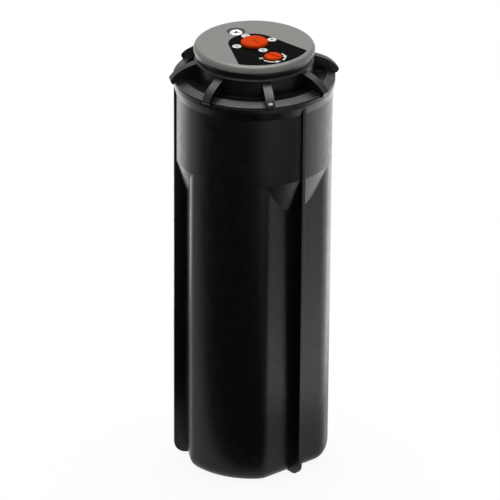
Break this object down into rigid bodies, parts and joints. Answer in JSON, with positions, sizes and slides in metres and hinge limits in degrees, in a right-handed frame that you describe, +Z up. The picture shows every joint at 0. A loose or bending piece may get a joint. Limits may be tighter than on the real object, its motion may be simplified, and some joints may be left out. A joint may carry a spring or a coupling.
{
  "type": "pop-up sprinkler",
  "caption": "Pop-up turret sprinkler with a lobed finned can, lugged collar nut, spring-returned riser, geared turbine drive and knobs on a round cover.",
  "frame": {"origin": "on the can's axis, in the plane of its bottom, which it stands on", "axes": "+Z up along the riser's travel; one fin of the can points along -X; the nozzle's heading at rest is 111.3 degrees from +X"},
  "size_m": [0.0846, 0.0846, 0.2265],
  "materials": {
    "black_plastic": "satin",
    "black_rubber": "matte",
    "panel_black": "semi-gloss",
    "cover_grey": "satin",
    "knob_orange": "semi-gloss",
    "natural_plastic": "satin",
    "filter_orange": "satin",
    "spring_steel": "satin",
    "screw_steel": "bright",
    "clutch_grey": "matte"
  },
  "bodies": {
    "can": {"housing": "black_plastic", "collar_nut": "black_plastic", "wiper_seal": "black_rubber", "collar_seal_ring": "black_rubber", "spring_seat_washer": "natural_plastic", "retract_spring": "spring_steel"},
    "riser": {"riser_tube": "black_plastic", "guide_ring": "natural_plastic", "filter_basket": "filter_orange", "filter_clip": "spring_steel", "stator_plate": "natural_plastic", "gearbox_case": "natural_plastic", "gearbox_lid": "natural_plastic", "layshaft_pin": "screw_steel", "turret_bush": "natural_plastic", "thrust_washer": "spring_steel", "bypass_spring": "spring_steel"},
    "trip": {"reversing_shutter": "natural_plastic", "trip_shaft": "screw_steel"},
    "bypass": {"bypass_valve": "black_rubber"},
    "turbine": {"turbine_wheel": "natural_plastic"},
    "first_stage": {"first_gear": "natural_plastic"},
    "second_stage": {"second_gear": "natural_plastic"},
    "third_stage": {"third_gear": "natural_plastic"},
    "output": {"output_gear": "natural_plastic", "clutch_disc": "clutch_grey"},
    "turret": {"turret_base": "black_plastic", "turret_clip": "spring_steel", "turret_housing": "black_plastic", "drum_seal_ring": "black_rubber", "turret_cover": "cover_grey", "control_panel": "panel_black"},
    "sector_stop": {"sector_ring": "natural_plastic"},
    "sector_drive": {"sector_pinion": "natural_plastic", "sector_knob": "knob_orange"},
    "nozzle_selector": {"nozzle_drum": "clutch_grey", "nozzle_inserts": "knob_orange", "selector_knob": "knob_orange"},
    "jet_breaker": {"jet_screw": "screw_steel"}
  },
  "joints": [
    {"name": "riser_slide", "type": "slide", "parent": "can", "child": "riser", "axis": [0, 0, 1], "range_m": [0, 0.1], "stiffness_N_per_m": 300, "springref_m": -0.1, "deforming": ["retract_spring"]},
    {"name": "turret_spin", "type": "hinge", "parent": "riser", "child": "turret", "pos_m": [0, 0, 0.18], "axis": [0, 0, 1], "continuous": true},
    {"name": "turbine_spin", "type": "hinge", "parent": "riser", "child": "turbine", "pos_m": [0, 0, 0.075], "axis": [0, 0, 1], "continuous": true},
    {"name": "first_gear_spin", "type": "hinge", "parent": "riser", "child": "first_stage", "pos_m": [0.0105, 0, 0.085], "axis": [0, 0, 1], "continuous": true},
    {"name": "second_gear_spin", "type": "hinge", "parent": "riser", "child": "second_stage", "pos_m": [0, 0, 0.09], "axis": [0, 0, 1], "continuous": true},
    {"name": "third_gear_spin", "type": "hinge", "parent": "riser", "child": "third_stage", "pos_m": [0.0105, 0, 0.096], "axis": [0, 0, 1], "continuous": true},
    {"name": "output_spin", "type": "hinge", "parent": "riser", "child": "output", "pos_m": [0, 0, 0.1], "axis": [0, 0, 1], "continuous": true},
    {"name": "trip_swing", "type": "hinge", "parent": "riser", "child": "trip", "pos_m": [0, 0, 0.1], "axis": [0, 0, 1], "range_deg": [0, 20]},
    {"name": "bypass_lift", "type": "slide", "parent": "riser", "child": "bypass", "axis": [0, 0, 1], "range_m": [0, 0.003], "stiffness_N_per_m": 400, "springref_m": -0.004, "deforming": ["bypass_spring"]},
    {"name": "sector_ring_turn", "type": "hinge", "parent": "turret", "child": "sector_stop", "pos_m": [0, 0, 0.18], "axis": [0, 0, 1], "range_deg": [0, 337]},
    {"name": "sector_knob_turn", "type": "hinge", "parent": "turret", "child": "sector_drive", "pos_m": [0.00654, -0.01805, 0.18], "axis": [0, 0, 1], "range_deg": [-2360, 0]},
    {"name": "nozzle_select", "type": "hinge", "parent": "turret", "child": "nozzle_selector", "pos_m": [0, 0, 0.2], "axis": [0, 0, 1], "continuous": true},
    {"name": "jet_screw_travel", "type": "slide", "parent": "turret", "child": "jet_breaker", "axis": [0, 0, -1], "range_m": [0, 0.004]}
  ],
  "couplings": [
    {"joint": "first_gear_spin", "follows": "turbine_spin", "ratio": -0.3125},
    {"joint": "second_gear_spin", "follows": "turbine_spin", "ratio": 0.097656},
    {"joint": "third_gear_spin", "follows": "turbine_spin", "ratio": -0.030518},
    {"joint": "output_spin", "follows": "turbine_spin", "ratio": 0.0095367},
    {"joint": "sector_knob_turn", "follows": "sector_ring_turn", "ratio": -7}
  ]
}
